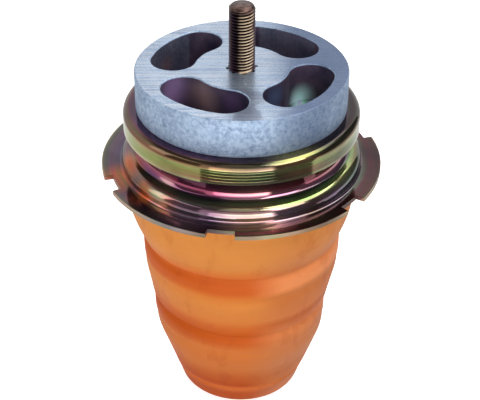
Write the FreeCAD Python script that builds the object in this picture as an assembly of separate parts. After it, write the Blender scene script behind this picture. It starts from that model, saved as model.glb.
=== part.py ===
"""A bump-stop mount: a pocketed aluminium disc and a threaded stud over two pressed steel pieces
that hold a stacked polyurethane bump stop.

Millimetres. Z 0 is the disc's upper face, which meets the body of the vehicle, the stud runs
up along +Z and the bump stop hangs below. Every piece is round about the Z axis.
"""
import FreeCAD, Part
import math
import os

V = FreeCAD.Vector
AXIS = V(0, 0, 1)

# Stud, an M12 with a round neck and ribs on it that are pressed up through the disc
stud_diameter = 12.0
neck_diameter = 12.6
stud_reach = 31.0
stud_tip_chamfer = 1.1
head_diameter = 30.0
head_thickness = 5.0
head_edge = 1.0
rib_count = 8
rib_circle_diameter = 14.6
rib_width = 1.9
rib_angle = 10.0
rib_depth_below_face = 1.0

# Mounting disc
disc_diameter = 98.0
disc_thickness = 18.5
disc_edge = 0.6

# Four curved pockets through the disc, each a slot bent round the hub that the stud stands in
pocket_count = 4
pocket_angle = 57.5
hub_diameter = 43.8
rim_wall = 6.3
pocket_web = 6.5
pocket_edge = 0.5

# Upper pressing, a shallow cap under the disc
cap_diameter = 110.0
cap_sheet = 3.0
cap_depth = 10.1
cap_shoulder = 3.4
cap_line_count = 4
cap_line_pitch = 1.5
cap_line_depth = 0.25
lowest_line_height = 1.6

# Lower pressing, a hat whose neck stands in the cap, with a sloping ledge round the neck's foot,
# a rounded shoulder outside the ledge and the notched flange as its brim
ring_sheet = 2.2
neck_clearance = 3.7
neck_corner = 3.0
neck_height = 18.8
neck_fillet = 4.4
ledge_width = 8.3
ledge_fall = 1.46
shoulder_radius = 5.0
shoulder_height = 5.84
flange_fillet = 1.2
flange_width = 9.4

# Notches in the flange's rim
notch_count = 6
notch_angle = 22.0
notch_width = 12.6
notch_depth = 4.0

# Holes that the stud's ribs pass through in the two pressings
stud_hole_clearance = 0.2

# Bump stop, a soft body of stacked bulges that are parted by narrow creases
# Each bulge has an upright band, then tapers in to the crease above the next; drops are from the flange
bumper_clearance = 0.3
bulges = (
    # radius of the band, drop to the band's lower end, radius of the taper's foot, drop to the foot
    (54.7, 20.2, 48.7, 34.7),
    (48.2, 49.2, 44.2, 71.7),
    (43.1, 88.2, 34.9, 113.7),
)
crease_depth = 1.5
crease_height = 2.4
crease_rounding = 0.7
lip_rounding = 1.1
band_rounding = 32.0
shoulder_rounding = 5.0
seat_rounding = 2.0
tip_radius = 34.0
tip_foot_radius = 30.4
tip_foot_height = 4.6
tip_rounding = 4.0
pad_radius = 23.0
pad_drop = 130.2

# Levels and radii that follow from the sizes above
pocket_outer_radius = disc_diameter / 2 - rim_wall
pocket_inner_radius = hub_diameter / 2
cap_top = -disc_thickness
cap_lower_edge = cap_top - cap_depth
ring_top = cap_top - cap_sheet
ring_underside = ring_top - ring_sheet
neck_radius = cap_diameter / 2 - cap_sheet - neck_clearance
shoulder_outer_radius = neck_radius + ledge_width
neck_foot = ring_top - neck_height
ledge_end = neck_foot - ledge_fall
flange_top = ledge_end - shoulder_height
flange_underside = flange_top - ring_sheet
rim_radius = shoulder_outer_radius + flange_width
plate_hole_radius = rib_circle_diameter / 2 + stud_hole_clearance


def spot(radius, height):
    """A point of a half section, which lies in the XZ plane."""
    return V(radius, 0, height)


def rounded_path(corners, closed):
    """Straight runs between corners (radius, height, rounding), joined by tangent arcs."""
    places = [spot(r, z) for r, z, rounding in corners]
    count = len(corners)
    edges = []
    start = None
    first = None
    for i in range(count):
        place, rounding = places[i], corners[i][2]
        if rounding == 0 or (not closed and i in (0, count - 1)):
            arrive = leave = place
        else:
            back = (places[i - 1] - place).normalize()
            ahead = (places[(i + 1) % count] - place).normalize()
            half = back.getAngle(ahead) / 2
            run = rounding / math.tan(half)
            arrive, leave = place + back * run, place + ahead * run
            middle = (back + ahead).normalize()
            top = place + middle * (rounding / math.sin(half) - rounding)
        if start is not None and start.distanceToPoint(arrive) > 1e-6:
            edges.append(Part.makeLine(start, arrive))
        if leave != arrive:
            edges.append(Part.Arc(arrive, top, leave).toShape())
        if first is None:
            first = arrive
        start = leave
    if closed and start.distanceToPoint(first) > 1e-6:
        edges.append(Part.makeLine(start, first))
    return Part.Wire(edges)


def turned(corners):
    """A solid turned about Z from a closed half section."""
    return Part.Face(rounded_path(corners, closed=True)).revolve(V(0, 0, 0), AXIS, 360)


def pressed(corners, sheet):
    """A round pressing: sheet laid along the inside of an open half section, then turned."""
    section = rounded_path(corners, closed=False).makeOffset2D(-sheet, 0, True, True)
    return section.revolve(V(0, 0, 0), AXIS, 360)


def around(shape, count, first_angle):
    """Copies of a shape that lies on +X, evenly spaced round the axis from first_angle."""
    copies = []
    for i in range(count):
        copy = shape.copy()
        copy.rotate(V(0, 0, 0), AXIS, first_angle + 360 * i / count)
        copies.append(copy)
    return copies


def ribs(width, outer_radius, low, high):
    """The upright ribs of the stud's neck, or the notches that they fill."""
    rib = Part.makeBox(outer_radius, width, high - low, V(0, -width / 2, low))
    limit = Part.makeCylinder(outer_radius, high - low, V(0, 0, low))
    return around(rib.common(limit), rib_count, rib_angle)


def pocket():
    """One curved pocket on +X: a slot with round ends, bent round the axis, with eased edges."""
    outer, inner = pocket_outer_radius, pocket_inner_radius
    half_width = (outer - inner) / 2
    middle = (outer + inner) / 2
    half_sweep = math.pi / pocket_count - math.asin((half_width + pocket_web / 2) / middle)

    def at(radius, angle):
        return V(radius * math.cos(angle), radius * math.sin(angle), 0)

    edges = [Part.Arc(at(outer, -half_sweep), at(outer, 0), at(outer, half_sweep)).toShape()]
    edges.append(Part.Arc(at(inner, -half_sweep), at(inner, 0), at(inner, half_sweep)).toShape())
    for side in (1, -1):
        end = at(middle, side * half_sweep)
        along = V(-side * math.sin(side * half_sweep), side * math.cos(half_sweep), 0)
        tip = end + along * half_width
        edges.append(Part.Arc(at(inner, side * half_sweep), tip, at(outer, side * half_sweep)).toShape())
    outline = Part.Wire(Part.__sortEdges__(edges))
    return Part.Face(outline).extrude(V(0, 0, -disc_thickness))


def mounting_disc():
    """Cast disc with four through pockets and a stud hole broached for the neck's ribs."""
    radius = disc_diameter / 2
    disc = Part.makeCylinder(radius, disc_thickness, V(0, 0, -disc_thickness))
    rim = [e for e in disc.Edges if isinstance(e.Curve, Part.Circle)]
    disc = disc.makeChamfer(disc_edge, rim)
    disc = disc.cut(around(pocket(), pocket_count, pocket_angle))
    mouths = [e for e in disc.Edges if on_face(e) and distance_out(e) < radius - 2 * disc_edge]
    disc = disc.makeChamfer(pocket_edge, mouths)
    bore = Part.makeCylinder(neck_diameter / 2, disc_thickness, V(0, 0, -disc_thickness))
    notches = ribs(rib_width, rib_circle_diameter / 2, -disc_thickness, 0)
    return disc.cut([bore] + notches)


def on_face(edge):
    """True where an edge lies in the disc's upper face."""
    return all(abs(v.Z) < 1e-6 for v in edge.Vertexes)


def distance_out(edge):
    """How far from the axis an edge reaches."""
    return max(math.hypot(v.X, v.Y) for v in edge.Vertexes)


def stud():
    """Stud with a round head, a ribbed neck flush with the disc and the plain outside of the thread."""
    radius = stud_diameter / 2
    shank = turned([
        (0, ring_underside - head_thickness, 0),
        (head_diameter / 2, ring_underside - head_thickness, head_edge),
        (head_diameter / 2, ring_underside, 0),
        (neck_diameter / 2, ring_underside, 0),
        (neck_diameter / 2, 0, 0),
        (radius, 0, 0),
        (radius, stud_reach - stud_tip_chamfer, 0),
        (radius - stud_tip_chamfer, stud_reach, 0),
        (0, stud_reach, 0),
    ])
    neck_ribs = ribs(rib_width, rib_circle_diameter / 2, ring_underside, -rib_depth_below_face)
    return shank.fuse(neck_ribs).removeSplitter()


def top_cap():
    """Upper pressing: a flat plate and a short skirt with fine rolled lines round it."""
    radius = cap_diameter / 2
    cap = pressed([
        (plate_hole_radius, cap_top, 0),
        (radius, cap_top, cap_shoulder),
        (radius, cap_lower_edge, 0),
    ], cap_sheet)
    grooves = []
    for i in range(cap_line_count):
        level = cap_lower_edge + lowest_line_height + cap_line_pitch * i
        grooves.append(turned([
            (radius - cap_line_depth, level, 0),
            (radius + cap_line_depth, level - 2 * cap_line_depth, 0),
            (radius + cap_line_depth, level + 2 * cap_line_depth, 0),
        ]))
    return cap.cut(grooves)


def flange_ring():
    """Lower pressing: plate, neck, sloping ledge, rounded shoulder and a flange with rim notches."""
    ring = pressed([
        (plate_hole_radius, ring_top, 0),
        (neck_radius, ring_top, neck_corner),
        (neck_radius, neck_foot, neck_fillet),
        (shoulder_outer_radius, ledge_end, shoulder_radius),
        (shoulder_outer_radius, flange_top, flange_fillet),
        (rim_radius, flange_top, 0),
    ], ring_sheet)
    reach = notch_depth + 1
    notch = Part.makeBox(reach, notch_width, ring_sheet + 2,
                         V(rim_radius - notch_depth, -notch_width / 2, flange_underside - 1))
    return ring.cut(around(notch, notch_count, notch_angle))


def bumper_outline():
    """Corners of the bump stop's half section below the flange, from the first bulge to the pad."""
    corners = []
    level = flange_underside - bumper_clearance
    rounding = shoulder_rounding
    for band_radius, band_drop, foot_radius, foot_drop in bulges:
        foot = flange_underside - foot_drop
        corners.append((band_radius, level, rounding))
        corners.append((band_radius, flange_underside - band_drop, band_rounding))
        corners.append((foot_radius, foot, crease_rounding))
        corners.append((foot_radius - crease_depth, foot - crease_height / 3, crease_rounding))
        level = foot - crease_height
        rounding = lip_rounding
    pad = flange_underside - pad_drop
    corners.append((tip_radius, level, lip_rounding))
    corners.append((tip_foot_radius, pad + tip_foot_height, tip_rounding))
    corners.append((pad_radius, pad, tip_rounding))
    corners.append((0, pad, 0))
    return corners


def bump_stop():
    """Stacked polyurethane bump stop, seated in the ring's neck round the stud's head."""
    seat_radius = neck_radius - ring_sheet - bumper_clearance
    seat_top = ring_underside - bumper_clearance
    recess_radius = head_diameter / 2 + bumper_clearance
    recess_floor = ring_underside - head_thickness - bumper_clearance
    return turned([
        (0, recess_floor, 0),
        (recess_radius, recess_floor, 0),
        (recess_radius, seat_top, 0),
        (seat_radius, seat_top, seat_rounding),
        (seat_radius, flange_underside - bumper_clearance, 0),
    ] + bumper_outline())


PIECES = (mounting_disc, stud, top_cap, flange_ring, bump_stop)


def main():
    os.makedirs("parts", exist_ok=True)
    for piece in PIECES:
        shape = piece()
        if len(shape.Solids) != 1 or not shape.isValid():
            raise ValueError(f"{piece.__name__}: {len(shape.Solids)} solids, valid {shape.isValid()}")
        solid = shape.Solids[0]
        box = solid.optimalBoundingBox()
        print(f"{piece.__name__}: {solid.Volume / 1000:.1f} cm3, Z {box.ZMin:.2f} to {box.ZMax:.2f},"
              f" radius {box.XMax:.2f}")
        solid.exportStep(f"parts/{piece.__name__}.step")


main()
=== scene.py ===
# %% [markdown]
# A bump-stop mount, dressed for the camera. The solid model gives the sizes and the places. This
# lesson gives it the surfaces that a photograph shows: a real thread, smooth bent sheet with
# coloured passivation, satin cast aluminium and moulded orange foam. The first cell loads the
# solid model, which every later piece is measured from.

# %% Load the solid model
import math

import bmesh
import bpy
import numpy as np
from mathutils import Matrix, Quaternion, Vector


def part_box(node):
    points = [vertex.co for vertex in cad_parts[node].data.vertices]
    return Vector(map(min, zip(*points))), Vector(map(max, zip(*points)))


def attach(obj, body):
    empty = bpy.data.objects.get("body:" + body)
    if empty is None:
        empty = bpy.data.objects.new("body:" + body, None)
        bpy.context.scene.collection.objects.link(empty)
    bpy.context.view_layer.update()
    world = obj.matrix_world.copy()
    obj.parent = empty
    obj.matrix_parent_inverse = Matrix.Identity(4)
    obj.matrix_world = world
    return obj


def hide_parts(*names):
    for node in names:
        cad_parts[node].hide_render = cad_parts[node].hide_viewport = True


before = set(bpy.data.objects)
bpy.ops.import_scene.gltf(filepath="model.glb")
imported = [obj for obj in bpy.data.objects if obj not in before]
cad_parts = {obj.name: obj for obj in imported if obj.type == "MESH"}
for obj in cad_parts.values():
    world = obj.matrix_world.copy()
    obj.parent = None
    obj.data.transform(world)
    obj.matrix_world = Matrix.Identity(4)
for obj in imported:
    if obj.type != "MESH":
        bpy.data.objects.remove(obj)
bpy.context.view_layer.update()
MM = 0.001

# %% [markdown]
# Every piece is round about the Z axis, and Z 0 is the disc's upper face. The levels below are
# read from the solid pieces, so the dressed pieces stay where the solids are. The few sizes that
# a box doesn't give, such as a thread's pitch or a bend's radius, are named where they are used.

# %% Levels and radii read from the solids
cap_low, cap_high = (np.array(corner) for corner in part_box("top_cap"))
ring_low, ring_high = (np.array(corner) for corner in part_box("flange_ring"))
stud_low, stud_high = (np.array(corner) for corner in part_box("stud"))
foam_low, foam_high = (np.array(corner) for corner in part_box("bump_stop"))
cap_radius = cap_high[0]
rim_radius = ring_high[0]
print("cap and rim radius in mm", np.round(np.array([cap_radius, rim_radius]) / MM, 2))

# %% [markdown]
# A turned piece is drawn as its half section: straight runs between corners, each corner eased by
# an arc. A surface could be spun with a modifier, but a grid of points worked out with numpy is
# exact, and each row or column can then be moved by a formula, as the thread and the notches need.

# %% A half section with rounded corners


def rounded_section(corners, step=math.radians(6)):
    """Points along straight runs whose corners are eased by arcs.

    Each corner is (radius, height, rounding). The arc touches both runs at rounding / tan(half
    the corner's angle) from the corner, and is sampled about every step of turn.
    """
    places = np.array([corner[:2] for corner in corners], float)
    path = [places[0]]
    for before, place, after, corner in zip(places, places[1:], places[2:], corners[1:]):
        rounding = corner[2]
        if rounding == 0:
            path.append(place)
            continue
        back = (before - place) / np.linalg.norm(before - place)
        ahead = (after - place) / np.linalg.norm(after - place)
        half = math.acos(np.clip(back @ ahead, -1, 1)) / 2
        middle = (back + ahead) / np.linalg.norm(back + ahead)
        centre = place + middle * rounding / math.sin(half)
        first = place + back * rounding / math.tan(half) - centre
        turn = math.pi - 2 * half
        side = np.sign(back[0] * ahead[1] - back[1] * ahead[0])
        for angle in np.linspace(0, -side * turn, max(3, int(turn / step) + 2)):
            cosine, sine = math.cos(angle), math.sin(angle)
            path.append(centre + [first[0] * cosine - first[1] * sine, first[0] * sine + first[1] * cosine])
    path.append(places[-1])
    return np.array(path)


def dense(path, spacing):
    """The same path with points added so that none are further apart than spacing."""
    pieces = [path[:1]]
    for start, end in zip(path, path[1:]):
        count = max(1, math.ceil(np.linalg.norm(end - start) / spacing))
        shares = np.linspace(0, 1, count + 1)[1:, None]
        pieces.append(start + shares * (end - start))
    return np.concatenate(pieces)


def sheet_section(path, thickness):
    """A closed half section of bent sheet: the path, then the path moved inwards by the thickness.

    The inward direction is the path's tangent turned by a quarter turn, averaged at each point.
    """
    tangents = np.gradient(path, axis=0)
    tangents /= np.linalg.norm(tangents, axis=1)[:, None]
    inward = np.column_stack([tangents[:, 1], -tangents[:, 0]])
    return np.concatenate([path, (path + inward * thickness)[::-1]])


# %% [markdown]
# The grid of points becomes a mesh. Columns run round the axis and always close. Rows either
# close too, as on bent sheet with a hole in it, or end in a point on the axis, as on the stud and
# the foam. The sign of the volume shows whether the faces look outwards, and turns them if not.

# %% From a grid of points to a closed mesh


def ring_grid(section, angles):
    """Rows by columns of points: each section point (radius, height) at each angle."""
    radius = section[:, 0, None] * np.ones_like(angles)
    height = section[:, 1, None] * np.ones_like(angles)
    return np.stack([radius * np.cos(angles), radius * np.sin(angles), height], axis=-1)


def closed_surface(name, grid, rows_close, sharp_angle=math.radians(40)):
    """A mesh object from a grid of points (rows, columns, 3), with every seam and end closed."""
    rows, columns = grid.shape[:2]
    points = grid.reshape(-1, 3)
    row = np.arange(rows if rows_close else rows - 1)[:, None]
    column = np.arange(columns)[None, :]
    here, below = row * columns, (row + 1) % rows * columns
    after = (column + 1) % columns
    quads = np.stack([here + column, here + after, below + after, below + column], -1).reshape(-1, 4)
    faces = quads.tolist()
    if not rows_close:
        ends = [grid[0].mean(axis=0), grid[-1].mean(axis=0)]
        points = np.concatenate([points, ends])
        round_once = np.arange(columns)
        top, bottom = rows * columns, rows * columns + 1
        last = (rows - 1) * columns
        next_one = (round_once + 1) % columns
        faces += np.column_stack([np.full(columns, top), next_one, round_once]).tolist()
        faces += np.column_stack([np.full(columns, bottom), last + round_once, last + next_one]).tolist()
    mesh = bpy.data.meshes.new(name)
    mesh.from_pydata(points.tolist(), [], faces)
    build = bmesh.new()
    build.from_mesh(mesh)
    if build.calc_volume(signed=True) < 0:
        bmesh.ops.reverse_faces(build, faces=build.faces)
    build.to_mesh(mesh)
    build.free()
    mesh.shade_smooth()
    mesh.set_sharp_from_angle(angle=sharp_angle)
    piece = bpy.data.objects.new(name, mesh)
    bpy.context.scene.collection.objects.link(piece)
    print(f"{name}: {len(faces)} faces")
    return piece


def fit(piece, node):
    """Let a piece stand for a solid node, whose own mesh is hidden, and ride on the one body."""
    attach(piece, "root")
    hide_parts(node)
    return piece


# %% [markdown]
# The camera stands 633 mm from the middle of the object and looks down at 33.8 degrees, through a
# long lens. Those values came from fitting a pinhole camera to the ellipses of the disc and the
# flange. The frame is one pixel off centre and turned by a third of a degree.

# %% Camera
bpy.context.scene.view_settings.view_transform = "Standard"
camera_distance = 0.633
camera_elevation = math.radians(33.8)
camera_aim = Vector((0, 0, -0.0728))
camera_roll = math.radians(0.33)
picture_width = 480
pixels_off_centre = 1

camera_data = bpy.data.cameras.new("camera")
camera_data.lens = 97.7
camera_data.sensor_width = 36
camera_data.shift_x = -pixels_off_centre / picture_width
camera_data.clip_start = 0.01
camera = bpy.data.objects.new("camera", camera_data)
towards_camera = Vector((0, -math.cos(camera_elevation), math.sin(camera_elevation)))
camera.location = camera_aim + camera_distance * towards_camera
camera.rotation_mode = "QUATERNION"
upright = (-towards_camera).to_track_quat("-Z", "Y")
camera.rotation_quaternion = upright @ Quaternion((0, 0, 1), camera_roll)
bpy.context.scene.collection.objects.link(camera)
bpy.context.scene.camera = camera
print("camera at, in mm", [round(value / MM) for value in camera.location])

# %% [markdown]
# A thread is a groove that climbs as it goes round. Written as a radius that depends on angle and
# height, it needs no screw modifier: the phase is height / pitch minus the share of a turn, and a
# blunt 60-degree profile of that phase gives the depth. The stud's ribbed neck and its round head
# are the same kind of formula, so the whole stud is one surface.

# %% Threaded stud
thread_pitch = 1.5 * MM
thread_depth = 0.613 * thread_pitch
thread_radius = 6.0 * MM
crest_share, root_share = 0.125, 0.25
tip_circle_radius = 4.9 * MM
runout_height = 0.4 * MM
rib_count = 8
rib_angle = math.radians(10)
rib_radius = 7.3 * MM
rib_width = 1.9 * MM
rib_depth_below_face = 1.0 * MM
ribbed_neck_radius = 6.3 * MM
ring_sheet = 2.2 * MM
head_radius = stud_high[0]
head_top = ring_high[2] - ring_sheet
head_edge = 1.0 * MM
stud_columns = 160
rows_per_turn = 14


def stud_radius(angle, height):
    """Radius of the stud: thread above the disc, ribs in it, and a plain head at the bottom."""
    phase = (height / thread_pitch - angle / (2 * math.pi)) % 1
    off_crest = np.abs(2 * phase - 1)
    cut = np.clip((off_crest - crest_share) / (1 - crest_share - root_share), 0, 1)
    fade = np.clip(height / runout_height, 0, 1)
    radius = thread_radius - thread_depth * cut * fade
    tip = tip_circle_radius + (stud_high[2] - height)
    radius = np.minimum(radius, tip)
    from_rib = (angle - rib_angle + math.pi / rib_count) % (2 * math.pi / rib_count) - math.pi / rib_count
    on_rib = (np.abs(from_rib) * rib_radius < rib_width / 2) & (height < -rib_depth_below_face)
    radius = np.where(height < 0, np.where(on_rib, rib_radius, ribbed_neck_radius), radius)
    head_low = stud_low[2]
    edge = head_radius - np.clip(head_edge - (height - head_low), 0, head_edge)
    return np.where(height < head_top, edge, radius)


def threaded_stud():
    """The stud as one closed surface, with rows close enough to draw every turn of the thread."""
    small = 0.002 * MM
    head = [stud_low[2], stud_low[2] + head_edge, head_top - small, head_top + small]
    neck = [-rib_depth_below_face - small, -rib_depth_below_face + small, -small]
    thread = np.arange(0, stud_high[2], thread_pitch / rows_per_turn)
    heights = np.concatenate([head, neck, thread, [stud_high[2]]])[:, None]
    angles = np.linspace(0, 2 * math.pi, stud_columns, endpoint=False)[None, :]
    radius = stud_radius(angles, heights)
    heights = heights * np.ones_like(angles)
    grid = np.stack([radius * np.cos(angles), radius * np.sin(angles), heights], axis=-1)
    return closed_surface("threaded_stud", grid, rows_close=False, sharp_angle=math.radians(60))


stud = fit(threaded_stud(), "stud")

# %% [markdown]
# The two steel pressings are bent sheet, so each is drawn as an open half section of its outer
# face and given its thickness by moving that line inwards. The cap's skirt has fine lines that
# the press rolled into it. They are narrow grooves a fiftieth of a millimetre deep, cut into the
# section by the peaks of a cosine of the height. Deeper ones would catch the lights as white rings.

# %% Upper pressing, the cap
cap_sheet = 3.0 * MM
cap_shoulder = 3.4 * MM
plate_hole_radius = 7.5 * MM
line_count = 4
line_pitch = 1.5 * MM
line_depth = 0.02 * MM
lowest_line_height = 1.6 * MM
line_sharpness = 10
rows_per_line = 18
turn_columns = 360


def cap_pressing():
    """Closed cup of bent sheet whose skirt has rolled lines."""
    low, high = cap_low[2], cap_high[2]
    path = rounded_section([
        (plate_hole_radius, high, 0),
        (cap_radius, high, cap_shoulder),
        (cap_radius, low, 0),
    ])
    path = np.concatenate([path[:-2], dense(path[-2:], line_pitch / rows_per_line)])
    turns = (path[:, 1] - low - lowest_line_height) / line_pitch
    groove = np.clip(np.cos(2 * math.pi * turns) * line_sharpness - (line_sharpness - 1), 0, 1)
    section = sheet_section(path, cap_sheet)
    section[:len(path), 0] -= line_depth * groove * (turns > -0.5) * (turns < line_count - 0.5)
    angles = np.linspace(0, 2 * math.pi, turn_columns, endpoint=False)
    return closed_surface("cap_pressing", ring_grid(section, angles), rows_close=True)


cap = fit(cap_pressing(), "top_cap")

# %% [markdown]
# The lower pressing has a neck, a rounded shoulder and a flat flange. Six shallow notches break
# its rim. A boolean would cut them, but here the rim's radius is simply smaller inside each
# notch. Two columns stand close together at each side of a notch, so that its corner is crisp.
# The neck's foot and the ledge lie a few tenths of a millimetre higher than in the solid, because
# that puts the highlights where the photograph has them.

# %% Lower pressing, the flange ring
neck_radius = 48.3 * MM
neck_corner = 3.0 * MM
neck_foot = -39.75 * MM
neck_fillet = 3.5 * MM
shoulder_radius = 56.6 * MM
ledge_end = -41.45 * MM
shoulder_round = 5.0 * MM
flange_fillet = 1.2 * MM
notch_count = 6
notch_angle = math.radians(22)
notch_width = 12.6 * MM
notch_depth = 4.0 * MM
column_gap = 0.0006
cleared_gap = 0.004
row_spacing = 3 * MM


def notch_columns():
    """Angles of the columns: even ones, and a close pair at each side of each notch."""
    half = notch_width / 2 / (rim_radius - notch_depth / 2)
    pairs = [-half - column_gap, -half + column_gap, half - column_gap, half + column_gap]
    centres = notch_angle + 2 * math.pi * np.arange(notch_count) / notch_count
    edges = (centres[:, None] + pairs).ravel()
    even = np.linspace(0, 2 * math.pi, turn_columns, endpoint=False)
    gap = np.abs((even[:, None] - edges[None, :] + math.pi) % (2 * math.pi) - math.pi).min(axis=1)
    return np.sort(np.concatenate([even[gap > cleared_gap], edges % (2 * math.pi)])), half


def flange_pressing():
    """Closed hat of bent sheet whose rim steps in at each notch."""
    low, high = ring_low[2] + ring_sheet, ring_high[2]
    path = rounded_section([
        (plate_hole_radius, high, 0),
        (neck_radius, high, neck_corner),
        (neck_radius, neck_foot, neck_fillet),
        (shoulder_radius, ledge_end, shoulder_round),
        (shoulder_radius, low, flange_fillet),
        (rim_radius, low, 0),
    ], step=math.radians(4))
    path = dense(path, row_spacing)
    section = sheet_section(path, ring_sheet)
    angles, half = notch_columns()
    grid = ring_grid(section, angles)
    from_notch = (angles - notch_angle + math.pi / notch_count) % (2 * math.pi / notch_count)
    inside = np.abs(from_notch - math.pi / notch_count) < half
    limit = np.where(inside, rim_radius - notch_depth, rim_radius)
    radius = np.hypot(grid[..., 0], grid[..., 1])
    grid[..., :2] *= np.minimum(1, limit / radius)[..., None]
    return closed_surface("flange_pressing", grid, rows_close=True)


ring = fit(flange_pressing(), "flange_ring")

# %% [markdown]
# The disc's shape is right as it is, but the solid's mesh is loose flat triangles. A copy with its
# doubled points merged can be shaded smoothly round the pockets' walls and stay crisp at its
# edges, where a narrow bevel catches the light as a deburred casting does.

# %% Disc with smooth walls


def dressed_disc():
    """A merged copy of the disc's solid, smooth where it is round and sharp at its edges."""
    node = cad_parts["mounting_disc"]
    build = bmesh.new()
    build.from_mesh(node.data)
    bmesh.ops.remove_doubles(build, verts=build.verts, dist=0.002 * MM)
    mesh = bpy.data.meshes.new("cast_disc")
    build.to_mesh(mesh)
    build.free()
    mesh.shade_smooth()
    mesh.set_sharp_from_angle(angle=math.radians(30))
    normals = np.zeros(len(mesh.polygons) * 3)
    mesh.polygons.foreach_get("normal", normals)
    level_face = np.abs(normals[2::3]) > 0.9999
    mesh.polygons.foreach_set("use_smooth", ~level_face)
    piece = bpy.data.objects.new("cast_disc", mesh)
    bpy.context.scene.collection.objects.link(piece)
    print(f"cast_disc: {len(mesh.polygons)} faces")
    return piece


disc = fit(dressed_disc(), "mounting_disc")

# %% [markdown]
# The bump stop is one moulding of foam: stacked bulges, each an upright band that rounds over and
# tapers in to a narrow crease. Real foam never comes out of its mould quite round, so waves of a
# few tenths of a millimetre run round each bulge, and each crease rises and falls a little.

# %% Moulded foam bump stop
creases = ((48.7, -84.5), (44.2, -121.5))
bands_below = ((48.2, -99.0), (43.1, -135.0))
last_crease = (34.9, -163.5)
crease_depth = 1.5
crease_height = 2.4
crease_rounding = 0.7
lip_rounding = 1.4
seam_depth = 0.45
plug_radius = 45.8


def foam_corners():
    """Corners in millimetres, from the plug in the ring's neck down to the pad."""
    corners = [(0, foam_high[2] / MM, 0), (plug_radius, foam_high[2] / MM, 2)]
    level = ring_low[2] / MM - 0.3
    corners.append((plug_radius, level, 0))
    corners.append((54.7, level, 5))
    corners.append((54.7, -70, 32))
    for (band_radius, band_end), (foot_radius, foot) in zip(bands_below, creases):
        corners.append((foot_radius, foot, crease_rounding))
        corners.append((foot_radius - crease_depth, foot - crease_height / 3, crease_rounding))
        start = foot - crease_height
        corners.append((band_radius - 1.0, start, lip_rounding))
        corners.append((band_radius + 0.25, start - 3.2, 5))
        corners.append((band_radius + 0.1, band_end + 2.5, 4))
        corners.append((band_radius - seam_depth, band_end, 3))
        corners.append((band_radius - 0.35, band_end - 4, 20))
    foot_radius, foot = last_crease
    pad = foam_low[2] / MM
    corners += [
        (foot_radius, foot, crease_rounding),
        (foot_radius - crease_depth, foot - crease_height / 3, crease_rounding),
        (34.0, foot - crease_height, lip_rounding),
        (30.4, pad + 4.6, 4),
        (23, pad, 4),
        (0, pad, 0),
    ]
    return corners


def moulded_foam():
    """The bump stop as a closed surface with slow waves in its radius and in its creases' height."""
    section = dense(rounded_section(foam_corners(), step=math.radians(8)), 0.9)[1:-1] * MM
    angles = np.linspace(0, 2 * math.pi, 240, endpoint=False)
    grid = ring_grid(section, angles)
    depth = (ring_low[2] - section[:, 1]) / (ring_low[2] - foam_low[2])
    showing = np.clip(depth * 12, 0, 1) * np.clip((1 - depth) * 12, 0, 1)
    showing = showing[:, None]
    height = section[:, 1, None] / MM
    waves = 0.25 * np.sin(3 * angles + height / 9) + 0.18 * np.sin(5 * angles - height / 13 + 1)
    grid[..., :2] *= (1 + (waves - 0.43) * MM * showing / section[:, 0, None].clip(20 * MM))[..., None]
    rise = 0.35 * np.sin(2 * angles + height / 21) + 0.2 * np.sin(5 * angles + height / 17)
    grid[..., 2] += rise * MM * showing
    return closed_surface("moulded_foam", grid, rows_close=False)


foam = fit(moulded_foam(), "bump_stop")

# %% [markdown]
# Materials are small programs. Two helpers keep them readable. A wire stands for one socket, and
# arithmetic on it adds Math nodes. A finish holds a material, and its single method adds any
# other node: its settings first, then the values or wires of its sockets.

# %% Helpers for materials


def paint(red, green, blue):
    """A colour from a picture's 0 to 255 values, in the linear light that a shader works in."""
    shares = [value / 255 for value in (red, green, blue)]
    return [s / 12.92 if s <= 0.04045 else ((s + 0.055) / 1.055) ** 2.4 for s in shares] + [1]


class Wire:
    """One output socket of a material's node. Arithmetic on it adds Math nodes."""

    def __init__(self, finish, socket):
        self.finish = finish
        self.socket = socket

    def maths(self, operation, *values):
        return self.finish.add("ShaderNodeMath", {"operation": operation}, dict(enumerate(values)))

    def __add__(self, other):
        return self.maths("ADD", self, other)

    def __sub__(self, other):
        return self.maths("SUBTRACT", self, other)

    def __rsub__(self, other):
        return self.maths("SUBTRACT", other, self)

    def __mul__(self, other):
        return self.maths("MULTIPLY", self, other)

    def __truediv__(self, other):
        return self.maths("DIVIDE", self, other)

    __radd__ = __add__
    __rmul__ = __mul__

    def other(self, name):
        """Another output of the same node."""
        return Wire(self.finish, self.socket.node.outputs[name])

    def between(self, low, high):
        """0 below low, 1 above high, and a smooth rise between."""
        settings = {"interpolation_type": "SMOOTHSTEP"}
        sockets = {"Value": self, "From Min": low, "From Max": high}
        return self.finish.add("ShaderNodeMapRange", settings, sockets)


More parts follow.
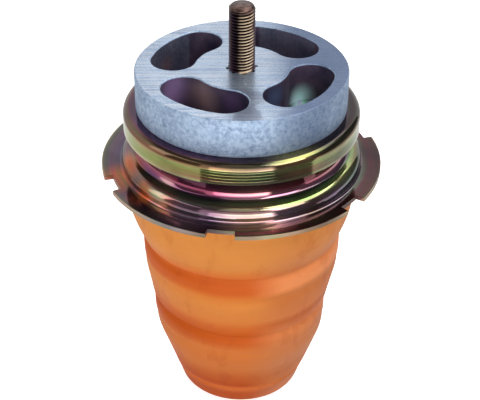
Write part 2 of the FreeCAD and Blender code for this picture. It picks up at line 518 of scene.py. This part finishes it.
class Finish:
    """A material and the Principled shader that its patterns feed."""

    def __init__(self, name, constants):
        self.material = bpy.data.materials.new(name)
        self.material.use_nodes = True
        self.tree = self.material.node_tree
        self.shader = self.tree.nodes["Principled BSDF"]
        for socket, value in constants.items():
            self.shader.inputs[socket].default_value = value
        self.place = self.add("ShaderNodeTexCoord", {}, {}, "Object")
        parts = self.add("ShaderNodeSeparateXYZ", {}, {"Vector": self.place})
        self.x, self.y, self.z = parts, parts.other("Y"), parts.other("Z")
        squared_radius = self.x * self.x + self.y * self.y
        self.radius = squared_radius.maths("SQRT", squared_radius)
        self.height = self.z / MM

    def add(self, kind, settings, inputs, output=0):
        """Add a node: its settings first, then a value or a wire for each named socket."""
        node = self.tree.nodes.new(kind)
        for name, value in settings.items():
            if name == "stops":
                ramp = node.color_ramp
                while len(ramp.elements) < len(value):
                    ramp.elements.new(1)
                for element, (position, colour) in zip(ramp.elements, value):
                    element.position = position
                    element.color = colour
            else:
                setattr(node, name, value)
        for name, value in inputs.items():
            if isinstance(value, Wire):
                self.tree.links.new(value.socket, node.inputs[name])
            else:
                node.inputs[name].default_value = value
        return Wire(self, node.outputs[output])

    def noise(self, scale, detail=3, stretch=(1, 1, 1), roughness=0.5):
        """Soft random pattern, about 0.3 to 0.7, with features of 1 / scale metres."""
        spot = self.add("ShaderNodeMapping", {}, {"Vector": self.place, "Scale": stretch})
        sockets = {"Vector": spot, "Scale": scale, "Detail": detail, "Roughness": roughness}
        return self.add("ShaderNodeTexNoise", {}, sockets)

    def mix(self, factor, first, second, blend="MIX"):
        """A colour between two colours."""
        settings = {"data_type": "RGBA", "blend_type": blend}
        return self.add("ShaderNodeMix", settings, {0: factor, 6: first, 7: second}, 2)

    def ramp(self, value, stops):
        """Colours read along a value from 0 to 1."""
        return self.add("ShaderNodeValToRGB", {"stops": stops}, {"Fac": value})

    def patch(self, place, reach):
        """1 at a place given in millimetres, and a smooth fall to 0 at the reach."""
        centre = [value * MM for value in place]
        away = self.add("ShaderNodeVectorMath", {"operation": "DISTANCE"}, {0: self.place, 1: centre}, 1)
        return 1 - away.between(0, reach * MM)

    def feed(self, socket, wire):
        self.tree.links.new(wire.socket, self.shader.inputs[socket])

    def bump(self, height, distance, strength=1.0):
        sockets = {"Height": height, "Distance": distance, "Strength": strength}
        self.feed("Normal", self.add("ShaderNodeBump", {}, sockets))

    def cover(self, *pieces):
        for piece in pieces:
            piece.data.materials.clear()
            piece.data.materials.append(self.material)
            print(f"{piece.name}: {self.material.name}, {len(self.tree.nodes)} nodes")


# %% [markdown]
# Zinc plate sealed with a yellow passivation shows the colours of a thin film. The film's
# thickness, and so its colour, follows how the part drained in the bath, which on a turned part
# means the way along its section: radius minus height grows all the way from the middle to the
# rim. A ramp along that way gives each bend its colour. Two ramps, one for each side of the part,
# are blended, and slow noises make the bands wander. The ramps' colours are matched to how each
# bend looks, so besides the film's colour they hold painted reflection and painted shade, which
# differ from one side to the other. A few round tints add what is local, such as the orange on
# the ring's left; on the cap, a bright tint on its plate inside the disc's pockets is painted
# light, and a dark one on its right edge is painted shade. Fine pink and green rings and darker
# clouds lie over all, and the rim's sheared edge, below the flange's face, is duller.

# %% Iridescent passivated steel
# Film colours for each side, which also hold painted reflection and painted shade.
cap_film_and_painted_light = (
    (66.0, (96, 56, 100), (112, 84, 96)), (69.5, (88, 52, 84), (40, 24, 32)),
    (72.0, (124, 86, 78), (72, 62, 56)), (74.0, (110, 88, 64), (96, 92, 72)),
    (75.5, (120, 98, 60), (100, 98, 68)), (77.0, (160, 148, 96), (170, 160, 124)),
    (79.5, (144, 146, 80), (104, 118, 78)), (82.0, (160, 144, 92), (106, 106, 80)),
    (83.6, (190, 170, 136), (176, 158, 140)),
)
flange_face_depth = 47.6
ring_film_and_painted_light = (
    (80.0, (72, 38, 62), (84, 38, 46)), (84.0, (116, 50, 80), (120, 60, 70)),
    (86.5, (160, 84, 104), (196, 140, 142)), (88.5, (126, 68, 108), (170, 134, 150)),
    (90.5, (100, 90, 112), (112, 108, 118)), (92.5, (150, 156, 140), (190, 214, 150)),
    (94.5, (150, 144, 128), (180, 200, 124)), (97.0, (118, 106, 108), (144, 152, 112)),
    (99.0, (116, 102, 108), (150, 148, 150)), (101.5, (106, 92, 112), (140, 132, 154)),
    (104.0, (84, 76, 104), (140, 132, 140)), (105.5, (84, 72, 96), (130, 124, 120)),
    (107.5, (92, 76, 96), (106, 70, 70)), (109.5, (98, 74, 94), (98, 60, 62)),
    (112.5, (100, 84, 88), (98, 62, 58)), (113.3, (112, 96, 90), (110, 78, 70)),
    (113.65, (170, 140, 122), (184, 148, 126)),
)
ring_tints = (
    ((-53, -18, -45), 16, paint(214, 100, 8)), ((-44, -36, -46), 10, paint(240, 130, 60)),
    ((-34, -45, -45), 10, paint(235, 150, 96)), ((-36, -39, -42), 9, paint(205, 195, 160)),
    ((-50, -2, -41), 13, paint(88, 56, 72)), ((-57, -24, -48), 12, paint(170, 104, 64)),
    ((6, -62, -48), 24, paint(196, 168, 144)), ((-30, -56, -48), 22, paint(156, 140, 146)),
    ((34, -50, -48), 16, paint(124, 106, 86)), ((63, 2, -47), 24, paint(70, 26, 40)),
)
# The second tint is painted light on the cap's plate inside the disc's pockets; the third is painted shade
# on the cap's right edge.
cap_tints_and_painted_light = (
    ((24, -46, -18), 18, paint(176, 156, 104)), ((27, -1, -18), 10, paint(240, 255, 255)),
    ((53, -2, -18), 16, paint(48, 34, 40)),
)


def film_and_painted_light_ramp(finish, way, bands, column):
    """The ramp of one side's colours along the section."""
    first, last = bands[0][0], bands[-1][0]
    stops = [((band[0] - first) / (last - first), paint(*band[column])) for band in bands]
    return finish.ramp((way - first) / (last - first), stops)


def passivated_steel(name, bands, tints):
    """The film's colours, with painted reflection and shade, on steel; bands are (way, left colour, right
    colour) in millimetres.
    """
    finish = Finish(name, {"Coat Roughness": 0.06, "Coat IOR": 1.5})
    wander = finish.noise(14, 2) - 0.5
    drift = finish.noise(60, 2, stretch=(1, 1, 0.4)) - 0.5
    way = finish.radius / MM - finish.height + wander * 3.0 + drift * 1.0
    side = ((finish.x / MM) + wander * 60).between(-26, 16)
    # The blend of the two sides' ramps carries painted reflection and painted shade as well as the film.
    film = finish.mix(side, film_and_painted_light_ramp(finish, way, bands, 1), film_and_painted_light_ramp(finish, way, bands, 2))
    for place, reach, tint in tints:
        film = finish.mix(finish.patch(place, reach) * 0.9, film, tint)
    section_place = {"X": finish.radius, "Y": finish.z, "Z": wander * 0.01}
    section = finish.add("ShaderNodeCombineXYZ", {}, section_place)
    streak = finish.add("ShaderNodeTexNoise", {}, {"Vector": section, "Scale": 420.0, "Detail": 3.0})
    film = finish.mix(streak.between(0.5, 0.62) * 0.6, film, paint(255, 186, 236), "MULTIPLY")
    film = finish.mix((1 - streak.between(0.38, 0.5)) * 0.6, film, paint(190, 255, 200), "MULTIPLY")
    cloud = finish.noise(34, 4, stretch=(1, 1, 2.2))
    film = finish.mix(cloud.between(0.4, 0.7) * 0.55, film, [0.2, 0.14, 0.18, 1], "MULTIPLY")
    finish.feed("Base Color", film)
    grain = finish.noise(420, 3, stretch=(1, 1, 6))
    sheared = (0 - finish.height).between(flange_face_depth + 0.1, flange_face_depth + 0.3)
    finish.feed("Roughness", grain * 0.12 + 0.04 + sheared * 0.4)
    finish.feed("Metallic", 0.9 - sheared * 0.5)
    finish.feed("Coat Weight", cloud * 0.2 + 0.1)
    finish.bump(grain, 0.02 * MM, 0.08)
    return finish


passivated_steel("cap_steel", cap_film_and_painted_light, cap_tints_and_painted_light).cover(cap)
passivated_steel("ring_steel", ring_film_and_painted_light, ring_tints).cover(ring)

# %% [markdown]
# The disc is cast aluminium with a faced top. The top is a satin mirror with fine brush marks:
# the stud shows in it as a soft dark stripe, and a painted reflection, a darker stripe in the top's
# colour, carries the stripe on to the front. The cast side is matt and mottled at two sizes. Top and
# side are painted darker and bluer towards the right, as painted shade. The walls of the pockets
# are painted dark as their shade, with faint tints that paint the coloured steel they reflect and
# one pale patch of painted light low on the right, and the notches round the stud are painted
# black as the shade in them.

# %% Cast aluminium
pocket_reach = 42.9
notch_reach = 10
# Painted reflection of the coloured steel on the pockets' walls, and one patch of painted light low on the
# right.
pocket_reflection_tints = (
    ((-32, -11, -7), 12, paint(164, 134, 184)), ((-18, -15, -9), 12, paint(180, 150, 150)),
    ((-4, -22, -7), 8, paint(100, 78, 118)), ((15, -16, -7), 9, paint(84, 100, 136)),
    ((-36, 23, -12), 8, paint(110, 70, 66)), ((27, 2, -17), 9, paint(196, 240, 240)),
)


def cast_aluminium():
    """Faced above, cast on the side, and painted dark in the pockets as their shade."""
    finish = Finish("cast_aluminium", {"Specular IOR Level": 0.5})
    cloud = finish.noise(60, 5, roughness=0.65)
    fleck = finish.noise(520, 4, roughness=0.7)
    faced = finish.height.between(-0.08, -0.02)
    colour = finish.mix(cloud.between(0.32, 0.68), paint(126, 146, 173), paint(150, 170, 195))
    colour = finish.mix(fleck.between(0.42, 0.62) * (0.5 - faced * 0.35), colour, paint(188, 204, 222))
    colour = finish.mix((1 - fleck.between(0.32, 0.42)) * (0.5 - faced * 0.35), colour, paint(76, 92, 122))
    brush = finish.noise(700, 3, stretch=(0.03, 1, 1))
    colour = finish.mix(brush.between(0.36, 0.62) * faced * 0.6, colour, paint(190, 196, 206))
    across = finish.x / MM + cloud * 20
    # Painted shade: top and side darker and bluer towards the right.
    right = across.between(18, 38) * (1 - across.between(42, 56) * (1 - faced) * 0.5)
    colour = finish.mix(right * (0.5 + faced * 0.35), colour, paint(60, 80, 116))
    # Painted reflection of the stud: a darker stripe that runs on to the front of the top.
    stripe = across.between(5, 8) * (1 - across.between(16, 20)) * (0 - finish.y / MM).between(18, 26)
    colour = finish.mix(stripe * faced * 0.5, colour, paint(70, 78, 104))
    # Painted shade: the pockets' walls are dark.
    wall = (pocket_reach - finish.radius / MM).between(0, 0.3) * (0.0 - finish.height).between(0.35, 0.6)
    cast = finish.mix(cloud.between(0.35, 0.65), paint(50, 42, 68), paint(88, 74, 94))
    for place, reach, tint in pocket_reflection_tints:
        cast = finish.mix(finish.patch(place, reach), cast, tint)
    # Painted shade: the notches round the stud are black.
    notch = (notch_reach - finish.radius / MM).between(0, 0.5) * (0 - finish.height).between(0.1, 0.3)
    cast = finish.mix(notch, cast, paint(8, 6, 10))
    finish.feed("Base Color", finish.mix(wall, colour, cast))
    finish.feed("Metallic", 0.6 + faced * 0.12 - wall * 0.35)
    finish.feed("Roughness", 0.62 - faced * 0.4 + cloud * 0.1 - wall * 0.2)
    finish.bump((fleck * 0.7 + cloud) * (1 - faced) + brush * faced * 0.4, 0.22 * MM, 0.3)
    return finish


cast_aluminium().cover(disc)

# %% [markdown]
# The stud is plated a dark bronze. Nuts have rubbed the crests of its thread to a light tan, and
# the roots stay nearly black. The distance from the axis tells crest from root. The crests on the
# left of the stud and at its right edge are painted dark as painted shade, and the stud below the
# disc's face, ribs and head, is painted black as the shade it lies in. Its top is a darker
# brownish grey.

# %% Bronze plated stud
bare_tip_height = 28.6


def plated_stud():
    """Tan crests and black roots, told apart by the distance from the axis."""
    finish = Finish("plated_stud", {"Metallic": 1.0})
    rubbed = (finish.radius / MM).between(5.3, 5.8)
    rust = finish.noise(260, 3)
    across = finish.x / MM + (rust - 0.5) * 2
    # Painted shade: the crests outside this lit band, on the left and at the right edge, stay dark.
    lit = across.between(-2.4, -0.6) * (1 - across.between(4.4, 5.4))
    crest = finish.mix(lit, paint(66, 48, 62), paint(194, 174, 150))
    colour = finish.mix(rubbed, paint(14, 10, 12), crest)
    colour = finish.mix(rust.between(0.5, 0.75) * 0.4, colour, paint(90, 66, 58))
    top_colour = finish.mix(rust.between(0.4, 0.6), paint(60, 46, 44), paint(98, 78, 72))
    colour = finish.mix(finish.height.between(bare_tip_height, bare_tip_height + 0.4), colour, top_colour)
    # Painted shade: below the disc's face the stud is black.
    colour = finish.mix(finish.height.between(-0.9, -0.4), paint(8, 7, 9), colour)
    finish.feed("Base Color", colour)
    finish.feed("Roughness", rust * 0.2 + 0.22)
    return finish


plated_stud().cover(stud)

# %% [markdown]
# Microcellular polyurethane has a closed, faintly waxy skin. A ramp down the height gives the
# foam its colour, and it also paints light and shade: the deeper, more saturated bands under each
# crease and the darker stops at the creases are painted shade, and the lighter stop just below the
# lowest crease is a painted highlight on its lip. As on the steel, a left and a right ramp are
# blended across the part; the right one paints a pinkish sheen on the bands and darker shade on the
# tapers. The whole is softly mottled and stained.

# %% Orange polyurethane
# Foam colours: the band shade, taper shade and sheen are painted light and shade.
light, mid, painted_band_shade = (222, 142, 64), (214, 122, 48), (196, 86, 8)
painted_sheen, painted_taper_shade, tip = (232, 142, 84), (198, 112, 54), (186, 80, 24)
foam_bands = (
    (-52, light, light), (-78, (216, 136, 62), (202, 124, 66)),
    (-84.5, (216, 112, 44), painted_taper_shade), (-88.5, painted_band_shade, painted_sheen),
    (-94, (202, 92, 26), painted_sheen), (-97.5, mid, painted_taper_shade),
    (-102, (216, 132, 60), painted_taper_shade), (-112, (214, 126, 56), (204, 118, 62)),
    (-116, (206, 104, 40), (186, 94, 40)), (-121.5, painted_band_shade, (206, 120, 68)),
    (-126.5, painted_band_shade, (216, 130, 76)), (-129, (198, 92, 30), (208, 124, 70)),
    (-133, (208, 116, 52), (200, 118, 68)), (-147, (204, 114, 52), (198, 122, 74)),
    (-155, (190, 90, 30), (190, 108, 58)), (-161, (182, 74, 12), painted_taper_shade),
    (-165, (212, 110, 48), (206, 118, 64)), (-169, tip, (204, 124, 80)),
    (-179, (186, 86, 34), (208, 134, 88)),
)


def foam_ramp(finish, level, column):
    """The ramp of one side's colours down the foam."""
    top, bottom = foam_bands[0][0], foam_bands[-1][0]
    stops = [((band[0] - top) / (bottom - top), paint(*band[column])) for band in foam_bands]
    return finish.ramp((level - top) / (bottom - top), stops)


def orange_foam():
    """Two ramps down the height, with painted shade, highlight and sheen, blended from left to right, under
    a soft mottle.
    """
    finish = Finish("orange_foam", {"Metallic": 0.0, "Specular IOR Level": 0.14})
    wander = finish.noise(28, 3) - 0.5
    level = finish.height + wander * 3.5
    # The right-hand ramp paints the sheen of a softbox on the right and darker tapers.
    side = (finish.x / MM + wander * 16).between(0, 24)
    skin = finish.mix(side, foam_ramp(finish, level, 1), foam_ramp(finish, level, 2))
    mottle = finish.noise(85, 5, stretch=(1, 1, 0.6), roughness=0.65)
    skin = finish.mix((1 - mottle.between(0.34, 0.5)) * 0.5, skin, paint(236, 214, 196), "MULTIPLY")
    stain = finish.noise(26, 4, roughness=0.6)
    skin = finish.mix(stain.between(0.5, 0.7) * 0.5, skin, paint(238, 222, 210), "MULTIPLY")
    finish.feed("Base Color", skin)
    grain = finish.noise(900, 3)
    finish.feed("Roughness", mottle * 0.25 + 0.4)
    finish.bump(mottle + grain * 0.25, 0.4 * MM, 0.35)
    return finish


orange_foam().cover(foam)

# %% [markdown]
# The object stands on a plain pale floor in a plain pale room. Both are white to the camera and
# through glass. In reflections the floor glows a little, and the room is white up to about 35
# degrees above the horizon and darkens to a dark ceiling, so that metal shows a studio. On matt
# surfaces the room is only a weak fill. The floor still takes the object's shadow, because part
# of its white is ordinary paint.

# %% Floor and room
floor_size = 6.0
floor_mesh = bpy.data.meshes.new("floor")
half_floor = floor_size / 2
floor_level = foam_low[2]
floor_mesh.from_pydata([
    (-half_floor, -half_floor, floor_level), (half_floor, -half_floor, floor_level),
    (half_floor, half_floor, floor_level), (-half_floor, half_floor, floor_level),
], [], [(0, 1, 2, 3)])
floor = bpy.data.objects.new("floor", floor_mesh)
bpy.context.scene.collection.objects.link(floor)


def pale_floor():
    """Ordinary white paint, with a glow added for the rays that should see the background."""
    finish = Finish("pale_floor", {"Base Color": [0.8, 0.8, 0.8, 1], "Roughness": 0.9})
    rays = finish.add("ShaderNodeLightPath", {}, {}, "Is Camera Ray")
    seen = rays + rays.other("Is Transmission Ray") + rays.other("Is Glossy Ray") * 0.3
    glow = finish.add("ShaderNodeEmission", {}, {"Color": [1, 1, 1, 1], "Strength": 0.75})
    shader = Wire(finish, finish.shader.outputs[0])
    both = finish.add("ShaderNodeAddShader", {}, {0: shader, 1: glow})
    chosen = finish.add("ShaderNodeMixShader", {}, {0: seen, 1: shader, 2: both})
    finish.tree.links.new(chosen.socket, finish.tree.nodes["Material Output"].inputs["Surface"])
    return finish


pale_floor().cover(floor)

world = bpy.data.worlds.new("room")
bpy.context.scene.world = world
world.use_nodes = True
room = world.node_tree
background = room.nodes["Background"]
rays = room.nodes.new("ShaderNodeLightPath")
place = room.nodes.new("ShaderNodeTexCoord")
parts = room.nodes.new("ShaderNodeSeparateXYZ")
room.links.new(place.outputs["Generated"], parts.inputs[0])
ceiling = room.nodes.new("ShaderNodeMapRange")
room.links.new(parts.outputs["Z"], ceiling.inputs["Value"])
for socket, value in (("From Min", 0.58), ("From Max", 0.75), ("To Min", 1.0), ("To Max", 0.12)):
    ceiling.inputs[socket].default_value = value
glossy = room.nodes.new("ShaderNodeMix")
room.links.new(rays.outputs["Is Glossy Ray"], glossy.inputs["Factor"])
glossy.inputs["A"].default_value = 0.32
room.links.new(ceiling.outputs[0], glossy.inputs["B"])
seen = room.nodes.new("ShaderNodeMix")
straight = room.nodes.new("ShaderNodeMath")
room.links.new(rays.outputs["Is Camera Ray"], straight.inputs[0])
room.links.new(rays.outputs["Is Transmission Ray"], straight.inputs[1])
room.links.new(straight.outputs[0], seen.inputs["Factor"])
room.links.new(glossy.outputs[0], seen.inputs["A"])
seen.inputs["B"].default_value = 1.0
room.links.new(seen.outputs[0], background.inputs["Strength"])
background.inputs["Color"].default_value = (1, 1, 1, 1)
print("floor at, in mm", round(floor_level / MM, 1))

# %% [markdown]
# Four soft lamps light the object. A wide window low in front lights the foam and the disc's
# side; it is hidden from reflections, where the bright sheet of the next cell stands in for it.
# A softbox high on the right, a larger one high behind and a weaker one on the left do the rest.
# None is seen by the camera.

# %% Lamps


def lamp(name, azimuth, elevation, distance, width, height, power):
    """A soft rectangular lamp that faces the ring; azimuth 0 is the camera's side, 90 the right."""
    data = bpy.data.lights.new(name, "AREA")
    data.shape = "RECTANGLE"
    data.size, data.size_y = width, height
    data.energy = power
    piece = bpy.data.objects.new(name, data)
    turn, rise = math.radians(azimuth), math.radians(elevation)
    away = Vector((math.cos(rise) * math.sin(turn), -math.cos(rise) * math.cos(turn), math.sin(rise)))
    target = Vector((0, 0, -0.05))
    piece.location = target + distance * away
    piece.rotation_euler = (-away).to_track_quat("-Z", "Y").to_euler()
    piece.visible_camera = False
    bpy.context.scene.collection.objects.link(piece)
    print(f"{name}: {power} W")
    return piece


front = lamp("front_window", -8, 10, 1.0, 1.0, 0.34, 4)
front.visible_glossy = False
lamp("right_softbox", 50, 50, 1.1, 0.5, 0.5, 4.5)
lamp("back_softbox", 170, 60, 1.1, 0.8, 0.8, 5)
lamp("left_fill", -70, 30, 1.2, 0.9, 0.9, 3)

# %% [markdown]
# Bright metal shows its surroundings, so a photographer shapes what it reflects with cards. Each
# card is a sheet swept round the object, and only reflections see it, so the cards change no
# matt surface. A card either glows evenly or is a dark cloth.

# %% A card and its finish
card_columns = 24


def card(name, rows, first_azimuth, last_azimuth, finish):
    """A sheet swept round the axis between two azimuths; rows are (distance, height) of its edges."""
    turns = np.radians(np.linspace(first_azimuth, last_azimuth, card_columns))
    arc = np.column_stack([np.sin(turns), -np.cos(turns), np.zeros(card_columns)])
    points = np.concatenate([arc * distance + [0, 0, height] for distance, height in rows])
    faces = [(i, i + 1, card_columns + i + 1, card_columns + i) for i in range(card_columns - 1)]
    mesh = bpy.data.meshes.new(name)
    mesh.from_pydata(points.tolist(), [], faces)
    sheet = bpy.data.objects.new(name, mesh)
    bpy.context.scene.collection.objects.link(sheet)
    sheet.visible_camera = sheet.visible_diffuse = sheet.visible_shadow = False
    sheet.visible_transmission = False
    finish.cover(sheet)


def glowing(name, colour, strength):
    """The finish of a card that gives light and reflects none."""
    return Finish(name, {
        "Base Color": [0, 0, 0, 1], "Emission Color": [*colour, 1], "Emission Strength": strength,
    })


# %% [markdown]
# A dark cloth lies on the floor close in front, and gives the cap's skirt its dark middle with
# sharp sides. Behind it a bright sheet sweeps up from the floor, and draws the bright arcs on
# every bend; its left edge is dimmer, so that the arcs fade there. Dark screens at the right and
# a dim one at the left keep the sides of the steel dark. A bright box hangs high at the right and
# behind, with a dimmer edge, and lights the ring's ledge. A grey ceiling over the front keeps the
# bends that face upwards from going black.

# %% Cards that the metal reflects
warm_white = (1.0, 0.99, 0.97)
dark_cloth = Finish("dark_cloth", {"Base Color": [0.05, 0.05, 0.06, 1], "Roughness": 1.0})
bright_sheet = glowing("bright_sheet", warm_white, 4.0)
half_bright = glowing("half_bright", warm_white, 1.2)
dim_card = glowing("dim_card", (0.9, 1.0, 0.8), 0.1)
grey_ceiling = glowing("grey_ceiling", (0.95, 1.0, 0.95), 0.6)
card_foot = floor_level + 1 * MM
sheet_rows = ((0.37, card_foot), (0.90, 0.30))
box_rows = ((0.76, 0.72), (0.25, 0.92))
card("dark_cloth", ((0.16, card_foot), (0.36, card_foot)), -36, 66, dark_cloth)
card("dark_screen", ((0.36, card_foot), (0.60, 0.30)), 29, 66, dark_cloth)
card("right_screen", ((0.60, -0.04), (0.50, 0.36)), 66, 135, dark_cloth)
card("left_screen", ((0.60, 0.0), (0.45, 0.36)), -70, -36, dim_card)
card("front_ceiling", ((0.50, 0.50), (0.10, 0.80)), -26, 24, grey_ceiling)
card("bright_sheet", sheet_rows, -27, 27, bright_sheet)
card("sheet_edge", sheet_rows, -35, -27.5, half_bright)
card("overhead_box", box_rows, 46, 174, bright_sheet)
card("overhead_edge", box_rows, 175, 194, half_bright)
